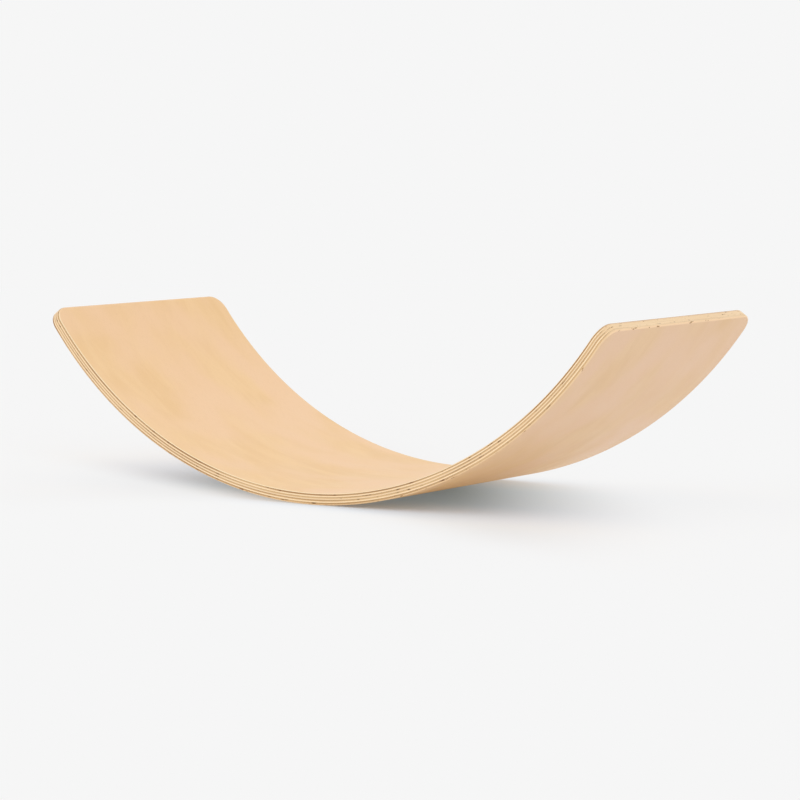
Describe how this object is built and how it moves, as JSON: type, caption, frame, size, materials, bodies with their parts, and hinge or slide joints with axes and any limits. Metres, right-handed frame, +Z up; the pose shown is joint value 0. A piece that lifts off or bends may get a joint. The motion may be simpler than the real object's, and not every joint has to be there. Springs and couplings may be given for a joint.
{
  "type": "curved balance board",
  "caption": "Bent plywood balance board: a wide arc of glued veneers with raised ends and rounded corners, to rock, stand or sit on, or to turn over as an arch.",
  "frame": {"origin": "the point on the floor under the middle of the board, where its underside touches", "axes": "+X along the board, +Y across its width, +Z up; the hollow seat faces +Z"},
  "size_m": [0.7452, 0.3, 0.2029],
  "materials": {
    "face_veneer": "pale birch face veneer, fine long grain, clear satin lacquer",
    "long_veneer": "pale birch veneer, sawn long grain at the edge, clear satin lacquer",
    "cross_veneer": "birch veneer whose darker end grain shows at the edge, clear satin lacquer",
    "glue": "thin brown line of hardened wood glue"
  },
  "bodies": {
    "root": {"under_face_veneer": "face_veneer", "cross_veneer_1": "cross_veneer", "cross_veneer_2": "cross_veneer", "cross_veneer_3": "cross_veneer", "cross_veneer_4": "cross_veneer", "long_veneer_1": "long_veneer", "long_veneer_2": "long_veneer", "long_veneer_3": "long_veneer", "seat_face_veneer": "face_veneer", "glue_line_1": "glue", "glue_line_2": "glue", "glue_line_3": "glue", "glue_line_4": "glue", "glue_line_5": "glue", "glue_line_6": "glue", "glue_line_7": "glue", "glue_line_8": "glue"}
  },
  "joints": []
}
